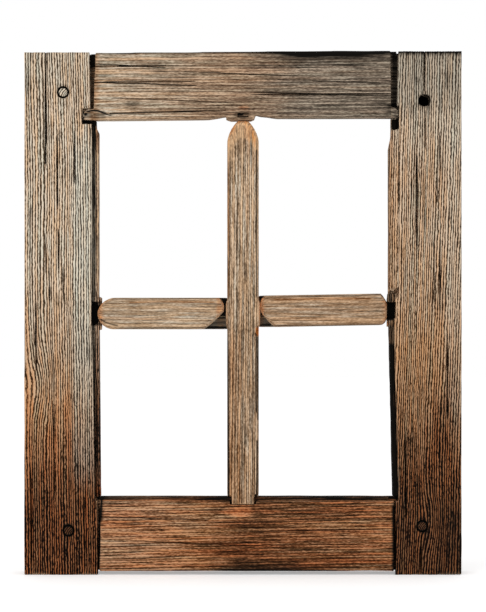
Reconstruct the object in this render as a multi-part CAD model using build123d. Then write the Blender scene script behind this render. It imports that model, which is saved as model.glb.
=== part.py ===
from build123d import *
import os

os.makedirs("parts", exist_ok=True)

# Outer size of the sash, standing on the feet of its stiles
sash_width = 477.4
sash_height = 572.0
sash_depth = 36.0

# Widths of the frame pieces, from the outer edge to the edge seen round a pane
left_stile_width = 81.2
right_stile_width = 79.6
top_rail_width = 73.4
bottom_rail_width = 80.8
foot_length = 4.0
left_stile_short = 2.0
right_stile_short = 0.8
top_rail_rise = 2.6

# The stiles' inner edges lean below the cross bars, as hand-planed wood does
left_edge_lean = 2.0
right_edge_lean = -4.6
left_face_lean = 3.6
right_face_lean = -5.2

# Layers from the front face to the back face
front_cheek = 10.0
tenon_thickness = 12.0
rebate_width = 9.0

# Lip round each pane on the front, beside the face
left_lip_setback = 4.0
right_upper_lip_setback = 1.4
right_lower_lip_setback = 5.0
left_face_edge = 7.4
right_face_edge = 5.4
right_quirk = 1.2
left_lip_inset = 3.0
left_lip_torn = 8.0
right_lip_inset = 2.8
right_lip_torn = 20.0
right_upper_lip_width = 12.0
groove_depth = 9.0
rail_ledge = 4.0
ledge_setback = 5.0
top_strip = 6.4
top_strip_rise = 3.6
top_groove = 1.5
top_groove_depth = 3.0

# Bosses left standing on the lips round the mortises of the bars
boss_width = 36.0
boss_height = 3.0
right_boss_height = 1.5
boss_depth = 12.0
rail_boss_drop = 1.7
rail_boss_left = 18.6
rail_boss_right = 12.4
rail_boss_corner = 1.8
rail_hollow_left = 3.1
rail_hollow_right = 5.0
rail_hollow_reach = 38.0
rail_dent_width = 12.6
rail_dent_height = 5.6
rail_dent_depth = 3.6

# Bars between the panes
bar_width = 34.6
fin_width = 12.0
bevel_depth = 4.0
bevel_width = 2.6
upright_bevel_width = 3.2
crossing_boss = 1.5
crossing_boss_length = 22.0
crossing_boss_slope = 4.0
nose_layer = 9.0
upright_foot_width = 24.4
upright_foot_drop = 8.0
arch_height = 22.5
arch_tip_width = 11.0
arch_bulge = 2.1
split_width = 4.2
split_depth = 6.5
split_length = 92.0
split_start = 14.0
split_slope = 7.0
left_bar_height = 285.0
right_bar_height = 287.4
right_bar_rise = 2.2
left_nose_entry = 1.5
right_nose_gap = 1.9
inner_nose_gap = 3.4
right_inner_nose_gap = 1.6

# Tenons of the bars
bar_tenon_width = 18.0
arch_tenon_width = 11.0
bar_tenon_thickness = 8.0
bar_tenon_length = 22.0
crossing_tenon = 5.0
left_notch_width = 25.8
right_notch_width = 18.0
notch_reach = 7.6

# Shoulders of the corner joints: open gaps left by shrinkage
top_left_gap_high = 5.6
top_left_gap_low = 3.0
top_right_gap_high = 7.4
top_right_gap_low = 6.4
bottom_gap = 1.6
back_gap = 0.6
left_tongue = 17.2
right_tongue = 10.4
tongue_width = 12.0
tongue_round = 8.0
tongue_setback = 0.7
tongue_clearance = 0.6
left_tongue_gap = 4.2
right_tongue_gap = 12.0
left_toe = 8.4
right_toe = 2.0
tenon_shrink = 1.5

# Pegs across the corner joints and the one hole that has lost its peg
peg_radius = 5.5
open_hole_radius = 6.2
open_hole_depth = 30.0
worn_ring = 1.0
worn_ring_depth = 4.0
peg_setback = 1.2
top_left_peg_inset = 42.4
top_left_peg_drop = 45.7
top_right_hole_inset = 40.9
top_right_hole_drop = 54.6
bottom_left_peg_inset = 48.3
bottom_left_peg_height = 48.2
bottom_right_peg_inset = 43.3
bottom_right_peg_height = 53.1

# Drying checks: slits in the front faces
check_width = 1.3
check_depth = 5.0

# Each check of a stile: from the outer edge, its low end and its high end
left_checks = [
    (23.3, 446.0, 580.0),
    (36.0, 395.7, 480.7),
    (55.0, 426.0, 487.0),
    (37.6, 330.0, 378.0),
    (13.0, 221.0, 300.0),
    (32.7, 82.0, 186.0),
    (7.6, 6.0, 114.0),
]
right_checks = [
    (49.3, 352.0, 458.0),
    (24.0, 284.5, 367.0),
    (40.9, 526.0, 580.0),
    (40.1, 463.0, 508.0),
    (15.9, 169.0, 267.0),
    (61.6, 60.0, 158.0),
    (44.4, 2.0, 44.0),
]

# Each check of the top rail: below its top edge, its left end and its right end
rail_checks = [
    (16.4, -170.0, -82.0),
    (33.6, -170.0, -50.0),
    (47.0, 8.0, 166.0),
]

# Levels that follow from these
half = sash_width / 2
front = -sash_depth / 2
back = sash_depth / 2
tenon_front = front + front_cheek
tenon_back = tenon_front + tenon_thickness
left_sight = -half + left_stile_width
right_sight = half - right_stile_width
left_wall = left_sight - rebate_width
right_wall = right_sight + rebate_width
left_stile_top = sash_height - left_stile_short
right_stile_top = sash_height - right_stile_short
top_left_level = sash_height - top_rail_rise
top_left_sight = top_left_level - top_rail_width
top_right_sight = sash_height - top_rail_width
top_middle_sight = (top_left_sight + top_right_sight) / 2
bottom_sight = foot_length + bottom_rail_width
bottom_face = bottom_sight - rail_ledge
bottom_wall = bottom_sight - rebate_width
bar_tenon_front = tenon_back - bar_tenon_thickness
half_bar = bar_width / 2
half_fin = fin_width / 2
half_tenon = bar_tenon_width / 2
half_arch_tenon = arch_tenon_width / 2
right_bar_end = right_bar_height + right_bar_rise
arch_tip = top_middle_sight - rail_boss_drop
spring = arch_tip - arch_height


def layer(points, near, far):
    """A flat layer drawn in the front view, between two depths."""
    corners = [(x, near, z) for x, z in points]
    outline = make_face(Polyline(*corners, close=True))
    return extrude(outline, amount=far - near, dir=(0, 1, 0))


def block(x0, x1, near, far, z0, z1):
    """A straight block between its limits."""
    return layer([(x0, z0), (x1, z0), (x1, z1), (x0, z1)], near, far)


def rod(x, z, radius, near, far):
    """A round bar along the depth, for pegs and their holes."""
    circle = Plane((x, near, z), x_dir=(1, 0, 0), z_dir=(0, 1, 0)) * Circle(radius)
    return extrude(circle, amount=far - near, dir=(0, 1, 0))


def peg_hole(x, z):
    """A peg hole through the whole depth, worn wider at the front face."""
    through = rod(x, z, peg_radius, front - 1, back + 1)
    worn = rod(x, z, peg_radius + worn_ring, front - 1, front + worn_ring_depth)
    return through + worn


def check(start, end):
    """A drying check from start to end in the front view, tapering to both ends."""
    dx = end[0] - start[0]
    dz = end[1] - start[1]
    length = (dx * dx + dz * dz) ** 0.5
    side_x = -dz / length * check_width / 2
    side_z = dx / length * check_width / 2
    near = (start[0] + dx * 0.2, start[1] + dz * 0.2)
    far = (start[0] + dx * 0.8, start[1] + dz * 0.8)
    outline = [
        start,
        (near[0] + side_x, near[1] + side_z),
        (far[0] + side_x, far[1] + side_z),
        end,
        (far[0] - side_x, far[1] - side_z),
        (near[0] - side_x, near[1] - side_z),
    ]
    return layer(outline, front - 1, front + check_depth)


def slope(a, b, bulge):
    """The curve from a to b in the front view, bulging to its left by an amount."""
    if bulge == 0:
        return [Line((a[0], front, a[1]), (b[0], front, b[1]))]
    dx = b[0] - a[0]
    dz = b[1] - a[1]
    length = (dx * dx + dz * dz) ** 0.5
    mid_x = (a[0] + b[0]) / 2 - bulge * dz / length
    mid_z = (a[1] + b[1]) / 2 + bulge * dx / length
    return [ThreePointArc((a[0], front, a[1]), (mid_x, front, mid_z), (b[0], front, b[1]))]


def bevelled(edges, inset):
    """A front layer of a bar: its outline, bevelled all round at the face."""
    outline = make_face(edges)
    lower = extrude(outline, amount=nose_layer, dir=(0, 1, 0))
    outer = extrude(outline, amount=bevel_depth, dir=(0, 1, 0))
    trimmed = lower - outer
    rim = Pos(0, bevel_depth, 0) * outline
    face = offset(outline, amount=-inset, kind=Kind.INTERSECTION)
    return trimmed + loft([rim.face(), face.face()])


# Places of the pegs and of the hole without one
top_left_peg = (-half + top_left_peg_inset, sash_height - top_left_peg_drop)
top_right_hole = (half - top_right_hole_inset, sash_height - top_right_hole_drop)
bottom_left_peg = (-half + bottom_left_peg_inset, bottom_left_peg_height)
bottom_right_peg = (half - bottom_right_peg_inset, bottom_right_peg_height)


def tongue(tip, root, low, near):
    """The end of the top rail's lip, lapping a stile, with its upper corner rounded."""
    body = block(min(tip, root), max(tip, root), near, tenon_front, low, low + tongue_width)
    upper = body.edges().filter_by(Axis.Y).group_by(Axis.Z)[-1]
    corner = upper.sort_by(Axis.X)[0 if tip < root else -1]
    return fillet(corner, tongue_round)


def stile(width, top, rail_sight, edge_lean, bar_level, notch, boss_rise, inset, torn):
    """A stile drawn for the left side: open slots at both ends take the rails' tenons."""
    outer = -half
    sight = outer + width
    wall = sight - rebate_width
    rail_wall = rail_sight + rebate_width
    foot_sight = sight + edge_lean
    lip = [
        (wall, bottom_sight),
        (foot_sight, bottom_sight),
        (sight, bar_level),
        (sight, rail_sight - torn * 1.7),
        (sight - inset, rail_sight - torn),
        (sight - inset, rail_sight),
        (wall, rail_sight),
    ]
    body = block(outer, wall, tenon_front, tenon_back, bottom_wall, rail_wall)
    body += block(outer, wall, tenon_back, back, 0, top)
    body += layer(lip, front + groove_depth, tenon_back)
    # Boss round the mortise of the cross bar
    boss_low = bar_level - boss_width / 2
    boss_high = bar_level + boss_width / 2
    boss_front = front + left_lip_setback
    boss_end = sight + boss_rise
    boss = block(wall, boss_end, boss_front, boss_front + boss_depth, boss_low, boss_high)
    low = bar_level - half_tenon
    high = bar_level + half_tenon
    pocket_end = sight - bar_tenon_length - 1
    pocket = block(pocket_end, boss_end + 1, bar_tenon_front, tenon_back, low, high)
    notch_low = bar_level - notch / 2
    notch_high = bar_level + notch / 2
    notch_end = sight - notch_reach
    opening = block(notch_end, boss_end + 1, front - 1, bar_tenon_front, notch_low, notch_high)
    return body + boss, pocket + opening


def left_stile():
    """The left stile: its toe laps the bottom rail and its lip stands well back."""
    body, mortise = stile(
        left_stile_width,
        left_stile_top,
        top_left_sight,
        left_edge_lean,
        left_bar_height,
        left_notch_width,
        boss_height,
        left_lip_inset,
        left_lip_torn,
    )
    edge = left_sight - left_face_edge
    toe = left_wall + left_toe
    notch_end = left_sight - left_tongue - tongue_clearance
    notch_low = top_left_sight - left_tongue_gap
    notch_high = top_left_sight + tongue_width + tongue_clearance
    face = [
        (-half, 0),
        (toe, 0),
        (toe, bottom_face),
        (edge + left_face_lean, bottom_face),
        (edge, left_bar_height),
        (edge, notch_low),
        (notch_end, notch_low),
        (notch_end, notch_high),
        (left_wall, notch_high),
        (left_wall - top_left_gap_high * 0.2, left_stile_top),
        (-half, left_stile_top),
    ]
    body += layer(face, front, tenon_front)
    # The lip's bead, chipped away at its top end
    bead_front = front + left_lip_setback
    bead_inner = left_sight - left_face_edge / 2
    bead = [
        (bead_inner + left_edge_lean, bottom_sight),
        (left_sight + left_edge_lean, bottom_sight),
        (left_sight, left_bar_height),
        (left_sight, top_left_sight - left_lip_torn * 1.7),
        (left_sight - left_lip_inset, top_left_sight - left_lip_torn),
        (bead_inner, notch_low - 1),
        (bead_inner, left_bar_height),
    ]
    body += layer(bead, bead_front, tenon_front)
    body -= mortise
    for inset, low, high in left_checks:
        body -= check((-half + inset, low), (-half + inset, high))
    body -= peg_hole(*top_left_peg)
    body -= peg_hole(*bottom_left_peg)
    return body


def right_stile():
    """The right stile: its lip is nearly flush above the bar and set back below it."""
    level = right_bar_height + right_bar_rise / 2
    body, mortise = stile(
        right_stile_width,
        right_stile_top,
        top_right_sight,
        right_edge_lean,
        level,
        right_notch_width,
        right_boss_height,
        right_lip_inset,
        right_lip_torn,
    )
    sight = -right_sight
    wall = -right_wall
    edge = sight - right_face_edge
    toe = wall + right_toe
    notch_end = sight - right_tongue - tongue_clearance
    notch_low = top_right_sight - right_tongue_gap
    notch_high = top_right_sight + tongue_width + tongue_clearance
    shared = notch_end
    face = [
        (-half, 0),
        (toe, 0),
        (toe, bottom_face),
        (edge + right_face_lean, bottom_face),
        (edge, level - right_notch_width),
        (edge, level + right_notch_width / 2),
        (notch_end, level + right_notch_width),
        (notch_end, notch_low),
        (shared, notch_high),
        (wall, notch_high),
        (wall - top_right_gap_high * 0.2, right_stile_top),
        (-half, right_stile_top),
    ]
    body += layer(face, front, tenon_front)
    upper_low = level + boss_width / 2 + 2
    upper_edge = sight - right_upper_lip_width + right_quirk
    upper = [
        (upper_edge, upper_low + 6),
        (sight - 4, upper_low),
        (sight, upper_low + 4),
        (sight, top_right_sight - right_lip_torn * 1.7),
        (sight - right_lip_inset, top_right_sight - right_lip_torn),
        (sight - right_lip_inset, notch_low - 2),
        (upper_edge, notch_low),
    ]
    body += layer(upper, front + right_upper_lip_setback, tenon_front)
    lower = [
        (edge + right_face_lean, bottom_sight),
        (sight + right_edge_lean, bottom_sight),
        (sight, level - boss_width / 2),
        (edge - 5, level - boss_width / 2),
        (edge, level - boss_width),
    ]
    body += layer(lower, front + right_lower_lip_setback, tenon_front)
    body -= mortise
    body = mirror(body, about=Plane.YZ)
    for inset, low, high in right_checks:
        body -= check((half - inset, low), (half - inset, high))
    body -= rod(*top_right_hole, open_hole_radius, front - 1, front + open_hole_depth)
    body -= peg_hole(*bottom_right_peg)
    return body


def top_rail():
    """The top rail: its tenons run right through both stiles."""
    left_face = left_wall + top_left_gap_high
    left_low = left_wall + top_left_gap_low
    right_face = right_wall - top_right_gap_high
    right_low = right_wall - top_right_gap_low
    # The lower edge is hollowed by wear on both sides of the boss
    lower = [
        (left_sight, top_left_sight),
        (-rail_hollow_reach, top_middle_sight),
        (-rail_boss_left, top_middle_sight + rail_hollow_left),
        (-rail_boss_left, arch_tip + rail_boss_corner),
        (-rail_boss_left + 3 * rail_boss_corner, arch_tip),
        (rail_boss_right - 2 * rail_boss_corner, arch_tip),
        (rail_boss_right, arch_tip + rail_boss_corner),
        (rail_boss_right + 1.6, top_middle_sight + rail_hollow_right),
        (rail_hollow_reach / 2, top_middle_sight + rail_hollow_right * 0.7),
        (rail_hollow_reach, top_right_sight),
        (right_sight, top_right_sight),
    ]
    face = [(left_low, top_left_sight)] + lower
    face += [
        (right_low, top_right_sight),
        (right_face, sash_height),
        (left_face, top_left_level),
    ]
    body = layer(face, front, tenon_front)
    lap_front = front + tongue_setback
    left_end = left_sight - left_tongue
    right_end = right_sight + right_tongue
    left_lap = left_low + tongue_width
    right_lap = right_low - tongue_width / 2
    body += tongue(left_end, left_lap, top_left_sight, lap_front)
    body += tongue(right_end, right_lap, top_right_sight, lap_front)
    core = [(left_wall, top_left_sight)] + lower
    core += [
        (right_wall, top_right_sight),
        (right_wall, sash_height),
        (left_wall, top_left_level),
    ]
    body += layer(core, tenon_front, tenon_back)
    left_slot = top_left_sight + rebate_width
    right_slot = top_right_sight + rebate_width
    left_top = left_stile_top - tenon_shrink
    right_top = right_stile_top - tenon_shrink
    body += block(-half, left_wall, tenon_front, tenon_back, left_slot, left_top)
    body += block(right_wall, half, tenon_front, tenon_back, right_slot, right_top)
    rear = [
        (left_wall + back_gap, left_slot),
        (right_wall - back_gap, right_slot),
        (right_wall - back_gap, sash_height),
        (left_wall + back_gap, top_left_level),
    ]
    body += layer(rear, tenon_back, back)
    # A narrow groove above the lip, on the left half
    groove_low = top_left_sight + top_strip
    groove = [
        (left_lap + 6, groove_low),
        (-rail_boss_left, groove_low + top_strip_rise),
        (-rail_boss_left, groove_low + top_strip_rise + top_groove),
        (left_lap + 6, groove_low + top_groove),
    ]
    body -= layer(groove, front - 1, front + top_groove_depth)
    dent_low = arch_tip + rail_dent_height / 2
    dent_high = dent_low + rail_dent_height
    half_dent = rail_dent_width / 2
    body -= block(-half_dent, half_dent, front - 1, front + rail_dent_depth, dent_low, dent_high)
    pocket_top = arch_tip + bar_tenon_length
    reach = half_arch_tenon
    body -= block(-reach, reach, bar_tenon_front, tenon_back, arch_tip - 1, pocket_top)
    for drop, start, end in rail_checks:
        level = sash_height - drop
        body -= check((start, level - top_rail_rise / 2), (end, level))
    body -= rod(*top_left_peg, peg_radius, front - 1, back + 1)
    body -= rod(*top_right_hole, open_hole_radius, front - 1, back + 1)
    return body


def bottom_rail():
    """The bottom rail: the upright bar is let into its top edge."""
    left_face = left_wall + left_toe + bottom_gap
    right_face = right_wall - right_toe - bottom_gap
    body = block(left_face, right_face, front, tenon_front, foot_length, bottom_face)
    ledge_front = front + ledge_setback
    body += block(left_sight, right_sight, ledge_front, tenon_front, bottom_face, bottom_sight)
    body += block(left_wall, right_wall, tenon_front, tenon_back, foot_length, bottom_sight)
    body += block(-half, left_wall, tenon_front, tenon_back, foot_length, bottom_wall)
    body += block(right_wall, half, tenon_front, tenon_back, foot_length, bottom_wall)
    rear_left = left_wall + back_gap
    rear_right = right_wall - back_gap
    body += block(rear_left, rear_right, tenon_back, back, foot_length, bottom_wall)
    pocket_low = bottom_sight - bar_tenon_length
    pocket_top = bottom_sight + 1
    body -= block(-half_tenon, half_tenon, bar_tenon_front, tenon_back, pocket_low, pocket_top)
    half_housing = half_bar - upright_bevel_width
    housing_low = bottom_sight - upright_foot_drop
    housing_back = front + ledge_setback
    body -= block(-half_housing, half_housing, front - 1, housing_back, housing_low, pocket_top)
    body -= rod(*bottom_left_peg, peg_radius, front - 1, back + 1)
    body -= rod(*bottom_right_peg, peg_radius, front - 1, back + 1)
    return body


def upright_bar():
    """The long upright bar, from the bottom rail to the boss of the top rail."""
    half_tip = arch_tip_width / 2
    wide = half_bar + crossing_boss
    low = left_bar_height - crossing_boss_length / 2
    high = left_bar_height + crossing_boss_length / 2
    right_side = [
        (half_bar, bottom_sight),
        (half_bar, low - crossing_boss_slope),
        (wide, low),
        (wide, high),
        (half_bar, high + crossing_boss_slope),
        (half_bar, spring),
    ]
    left_side = [(-x, z) for x, z in reversed(right_side)]
    path = [(x, front, z) for x, z in right_side]
    edges = [Polyline(*path)]
    edges += slope(right_side[-1], (half_tip, arch_tip), -arch_bulge)
    edges += slope((half_tip, arch_tip), (-half_tip, arch_tip), 0)
    edges += slope((-half_tip, arch_tip), left_side[0], -arch_bulge)
    edges += [Polyline(*[(x, front, z) for x, z in left_side])]
    edges += slope(left_side[-1], right_side[0], 0)
    body = bevelled(edges, upright_bevel_width)
    core_front = front + nose_layer
    body += block(-half_bar, half_bar, core_front, tenon_back, bottom_sight, spring)
    foot = upright_foot_width / 2
    foot_low = bottom_sight - upright_foot_drop
    foot_back = front + ledge_setback
    foot_top = bottom_sight + upright_bevel_width + 1
    body += block(-foot, foot, front, foot_back, foot_low, foot_top)
    tenon_low = bottom_sight - bar_tenon_length
    tenon_high = arch_tip + bar_tenon_length
    reach = half_arch_tenon
    body += block(-reach, reach, bar_tenon_front, tenon_back, spring, tenon_high)
    body += block(-half_tenon, half_tenon, bar_tenon_front, tenon_back, tenon_low, bottom_sight)
    throat_back = bar_tenon_front
    body += block(-half_tip, half_tip, core_front, throat_back, spring, arch_tip)
    rail_wall = top_left_sight + rebate_width
    body += block(-half_fin, half_fin, tenon_back, back, bottom_wall, rail_wall)
    # A long splinter is lost from the right edge below the cross bars
    split_top = left_bar_height - half_bar + 1 - split_start / 4
    split_low = split_top - split_length
    split_edge = half_bar - split_width
    split = [
        (split_edge, split_top),
        (half_bar + 1, split_top - split_slope),
        (half_bar + 1, split_low + split_slope),
        (half_bar - 1, split_low),
        (split_edge, split_low + split_slope),
    ]
    body -= layer(split, front - 1, front + split_depth)
    # Shallow mortises for the stub tenons of the two cross bars
    inner = half_bar - crossing_tenon
    for side, level in ((-1, left_bar_height), (1, right_bar_height)):
        x0, x1 = sorted((side * inner, side * (half_bar + crossing_boss + 1)))
        body -= block(x0, x1, bar_tenon_front, tenon_back, level - half_tenon, level + half_tenon)
    return body


def cross_bar(level, far_level, sight, wall, outer_nose, inner_nose):
    """A short bar drawn for the left side, with a nose at each end.

    A nose is its tip, the length of its upper and lower slopes, how far its blunt
    tip reaches above and below the bar's axis, and the bulge of both slopes.
    """
    tip, upper, lower, blunt_high, blunt_low, upper_bulge, lower_bulge = outer_nose
    top_left = (tip + upper, far_level + half_bar)
    tip_high = (tip, far_level + blunt_high)
    tip_low = (tip, far_level - blunt_low)
    low_left = (tip + lower, far_level - half_bar)
    edges = slope(top_left, tip_high, -upper_bulge)
    edges += slope(tip_high, tip_low, 0)
    edges += slope(tip_low, low_left, -lower_bulge)
    start = tip + max(upper, lower)
    tip, upper, lower, blunt_high, blunt_low, upper_bulge, lower_bulge = inner_nose
    low_right = (tip - lower, level - half_bar)
    inner_low = (tip, level - blunt_low)
    inner_high = (tip, level + blunt_high)
    top_right = (tip - upper, level + half_bar)
    edges += slope(low_left, low_right, 0)
    edges += slope(low_right, inner_low, -lower_bulge)
    edges += slope(inner_low, inner_high, 0)
    edges += slope(inner_high, top_right, -upper_bulge)
    edges += slope(top_right, top_left, 0)
    body = bevelled(edges, bevel_width)
    core_front = front + nose_layer
    rise = far_level - level
    share = (start - -half_bar) / (tip - half_bar)
    backing = [
        (start, level + rise - half_bar),
        (tip - lower, level - half_bar),
        (-half_bar, level - half_bar),
        (-half_bar, level + half_bar),
        (tip - lower, level + half_bar),
        (start, level + rise + half_bar),
    ]
    body += layer(backing, core_front, tenon_back)
    joint = (level + far_level) / 2
    outer_end = sight - bar_tenon_length
    body += block(outer_end, start, bar_tenon_front, tenon_back, joint - half_tenon, joint + half_tenon)
    inner_end = -half_bar + crossing_tenon
    body += block(tip - lower, inner_end, bar_tenon_front, tenon_back, level - half_tenon, level + half_tenon)
    body += block(wall, -half_fin, tenon_back, back, level - half_fin, level + half_fin)
    # The nose is carried by the tenon behind it
    throat_start = outer_nose[0] + 3
    throat_low = joint - half_tenon / 2
    throat_high = joint + half_tenon / 2
    body += block(throat_start, start, core_front, bar_tenon_front, throat_low, throat_high)
    return body


def left_cross_bar():
    tip = left_sight - left_nose_entry
    inner_tip = -half_bar - inner_nose_gap
    outer_nose = (tip, 20.0, 18.0, 1.5, 1.5, 4.6, 4.6)
    inner_nose = (inner_tip, 6.5, 22.0, 8.0, -2.5, 1.4, 1.0)
    return cross_bar(left_bar_height, left_bar_height, left_sight, left_wall, outer_nose, inner_nose)


def right_cross_bar():
    sight = -right_sight
    tip = sight + right_nose_gap
    inner_tip = -half_bar - right_inner_nose_gap
    outer_nose = (tip, 6.5, 6.0, 7.5, 9.0, 0.4, 1.6)
    inner_nose = (inner_tip, 5.0, 16.0, 10.0, -0.5, 0.8, 1.2)
    body = cross_bar(right_bar_height, right_bar_end, sight, -right_wall, outer_nose, inner_nose)
    return mirror(body, about=Plane.YZ)


def peg(x, z):
    """A turned peg through the whole joint, its head just below the face."""
    return rod(x, z, peg_radius, front + peg_setback, back)


pieces = {
    "left_stile": left_stile(),
    "right_stile": right_stile(),
    "top_rail": top_rail(),
    "bottom_rail": bottom_rail(),
    "upright_bar": upright_bar(),
    "left_cross_bar": left_cross_bar(),
    "right_cross_bar": right_cross_bar(),
    "top_left_peg": peg(*top_left_peg),
    "bottom_left_peg": peg(*bottom_left_peg),
    "bottom_right_peg": peg(*bottom_right_peg),
}

for name, piece in pieces.items():
    piece.label = name
    export_step(piece, f"parts/{name}.step")
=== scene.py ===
"""An old wooden window sash: weathered stiles and rails, round-nosed bars and pegged corners."""

import bmesh
import bpy
import numpy as np
from bpy.props import FloatProperty, FloatVectorProperty, PointerProperty
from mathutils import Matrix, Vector


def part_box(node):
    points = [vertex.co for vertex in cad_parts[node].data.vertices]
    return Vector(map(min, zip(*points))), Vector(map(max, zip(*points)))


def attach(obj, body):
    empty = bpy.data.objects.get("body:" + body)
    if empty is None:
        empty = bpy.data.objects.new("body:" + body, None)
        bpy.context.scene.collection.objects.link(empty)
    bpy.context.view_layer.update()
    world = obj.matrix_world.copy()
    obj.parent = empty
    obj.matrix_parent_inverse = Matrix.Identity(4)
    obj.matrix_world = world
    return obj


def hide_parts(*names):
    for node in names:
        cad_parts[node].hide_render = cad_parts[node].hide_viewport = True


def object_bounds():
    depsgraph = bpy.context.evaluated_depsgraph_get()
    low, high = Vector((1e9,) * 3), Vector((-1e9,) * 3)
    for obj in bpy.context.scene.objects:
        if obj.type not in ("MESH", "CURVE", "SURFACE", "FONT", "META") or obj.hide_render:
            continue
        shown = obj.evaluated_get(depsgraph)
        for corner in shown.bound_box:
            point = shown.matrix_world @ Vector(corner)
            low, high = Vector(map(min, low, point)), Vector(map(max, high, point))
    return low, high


bl_info = {
    "name": "Weathered Window Sash",
    "version": (1, 0, 0),
    "blender": (4, 5, 0),
    "location": "3D View > Sidebar > Sash",
    "description": "Builds the weathered wood of an old window sash round its packed frame",
    "category": "Object",
}

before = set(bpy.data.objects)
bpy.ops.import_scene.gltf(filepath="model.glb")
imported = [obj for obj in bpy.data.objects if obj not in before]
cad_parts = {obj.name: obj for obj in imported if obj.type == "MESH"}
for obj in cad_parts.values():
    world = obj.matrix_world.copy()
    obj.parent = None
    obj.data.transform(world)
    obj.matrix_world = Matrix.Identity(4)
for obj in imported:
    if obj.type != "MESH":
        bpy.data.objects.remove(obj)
cad_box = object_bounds()

MM = 0.001
PIXEL = 1.09  # millimetres of the sash in one pixel of the picture
CENTRE_PX = 243.0
FLOOR_PX = 575.0
FRONT = cad_box[0][1] / MM
BAR_LEVEL = 286.0  # middle height of the cross bars
TENON_FACE = 4.6  # the bars' tenons lie behind this plane and before its mirror
TENON_TALL = 16.0  # half height of the tenons
TENON_END = 170.0  # how far from the middle the tenons reach
SHOULDER = 154.0  # where the tenons begin
HOLE_END = 14.0  # the blind peg hole ends before this plane


def across(px):
    """Millimetres right of the middle for a column of the picture."""
    return (px - CENTRE_PX) * PIXEL


def up(py):
    """Millimetres above the floor for a row of the picture."""
    return (FLOOR_PX - py) * PIXEL


class SashWood(bpy.types.PropertyGroup):
    """Sizes of the grain and of the wear."""

    fine: FloatProperty(
        name="Fine cell", description="Mesh cells across the grain on a face", default=0.58 * MM, unit="LENGTH"
    )
    deep: FloatProperty(
        name="Deep cell", description="Mesh cells through the thickness", default=1.6 * MM, unit="LENGTH"
    )
    long: FloatProperty(name="Long cell", description="Mesh cells along the grain", default=3.4 * MM, unit="LENGTH")
    ring: FloatProperty(
        name="Ring spacing", description="Distance between two year rings", default=1.8 * MM, unit="LENGTH"
    )
    groove: FloatProperty(
        name="Groove depth",
        description="Depth of the weathered grooves between rings",
        default=0.6 * MM,
        unit="LENGTH",
    )


class SashFinish(bpy.types.PropertyGroup):
    """Colours of the wood."""

    dry_ridge: FloatVectorProperty(
        name="Dry ridge", description="Bleached ridges of dry wood", subtype="COLOR", default=(0.92, 0.78, 0.62)
    )
    dry_middle: FloatVectorProperty(
        name="Dry middle", description="Flanks of dry wood", subtype="COLOR", default=(0.42, 0.32, 0.225)
    )
    dry_groove: FloatVectorProperty(
        name="Dry groove", description="Grooves of dry wood", subtype="COLOR", default=(0.06, 0.038, 0.02)
    )
    brown_ridge: FloatVectorProperty(
        name="Brown ridge", description="Ridges of brown wood", subtype="COLOR", default=(0.68, 0.43, 0.25)
    )
    brown_middle: FloatVectorProperty(
        name="Brown middle", description="Flanks of brown wood", subtype="COLOR", default=(0.24, 0.118, 0.05)
    )
    brown_groove: FloatVectorProperty(
        name="Brown groove", description="Grooves of brown wood", subtype="COLOR", default=(0.03, 0.012, 0.003)
    )
    damp_ridge: FloatVectorProperty(
        name="Damp ridge",
        description="Ridges of wood that has stood damp",
        subtype="COLOR",
        default=(0.37, 0.16, 0.07),
    )
    damp_middle: FloatVectorProperty(
        name="Damp middle",
        description="Flanks of wood that has stood damp",
        subtype="COLOR",
        default=(0.045, 0.016, 0.006),
    )
    damp_groove: FloatVectorProperty(
        name="Damp groove",
        description="Grooves of wood that has stood damp",
        subtype="COLOR",
        default=(0.001, 0.0004, 0.0002),
    )


class SashStage(bpy.types.PropertyGroup):
    """The camera, the lamps and the floor."""

    distance: FloatProperty(
        name="Camera distance", description="From the front face to the camera", default=2.2, unit="LENGTH"
    )
    key: FloatProperty(
        name="Key lamp", description="Power of the soft lamp at the upper left", default=16.0, unit="POWER"
    )
    sky: FloatProperty(name="Sky", description="Strength of the even light from all sides", default=0.72)
    paper: FloatProperty(name="Paper", description="How much whiter the floor looks to the camera", default=0.35)


# Noise and shaping in numbers


def hashed(cells, seed):
    """A repeatable number from 0 to 1 for each whole-number cell."""
    mixed = cells[..., 0] * 374761393 + cells[..., 1] * 668265263 + cells[..., 2] * 2147483647 + seed * 974634777
    mixed = (mixed ^ (mixed >> 13)) * 1274126177
    mixed = mixed ^ (mixed >> 16)
    return (mixed & 0xFFFFFF) / float(0xFFFFFF)


def noise(points, size, seed=0):
    """Smooth noise from -1 to 1, with features of the given size along each axis."""
    at = points / np.asarray(size, dtype=float)
    low = np.floor(at).astype(np.int64)
    part = at - low
    part = part * part * (3.0 - 2.0 * part)
    total = np.zeros(len(points))
    for corner in range(8):
        step = np.array([corner & 1, corner >> 1 & 1, corner >> 2 & 1])
        weight = np.prod(np.where(step, part, 1.0 - part), axis=1)
        total += weight * hashed(low + step, seed)
    return total * 2.0 - 1.0


def smoothstep(low, high, value):
    """0 below low, 1 above high, and smooth between; high may be the lower one."""
    t = np.clip((value - low) / (high - low), 0.0, 1.0)
    return t * t * (3.0 - 2.0 * t)


def bump(value, centre, width):
    """1 at the centre, falling smoothly to 0 at the given distance."""
    return 1.0 - smoothstep(0.0, width, np.abs(value - centre))


def between(value, low, high, soft):
    """1 from low to high, with soft ends."""
    return smoothstep(low - soft, low + soft, value) * smoothstep(high + soft, high - soft, value)


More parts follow.
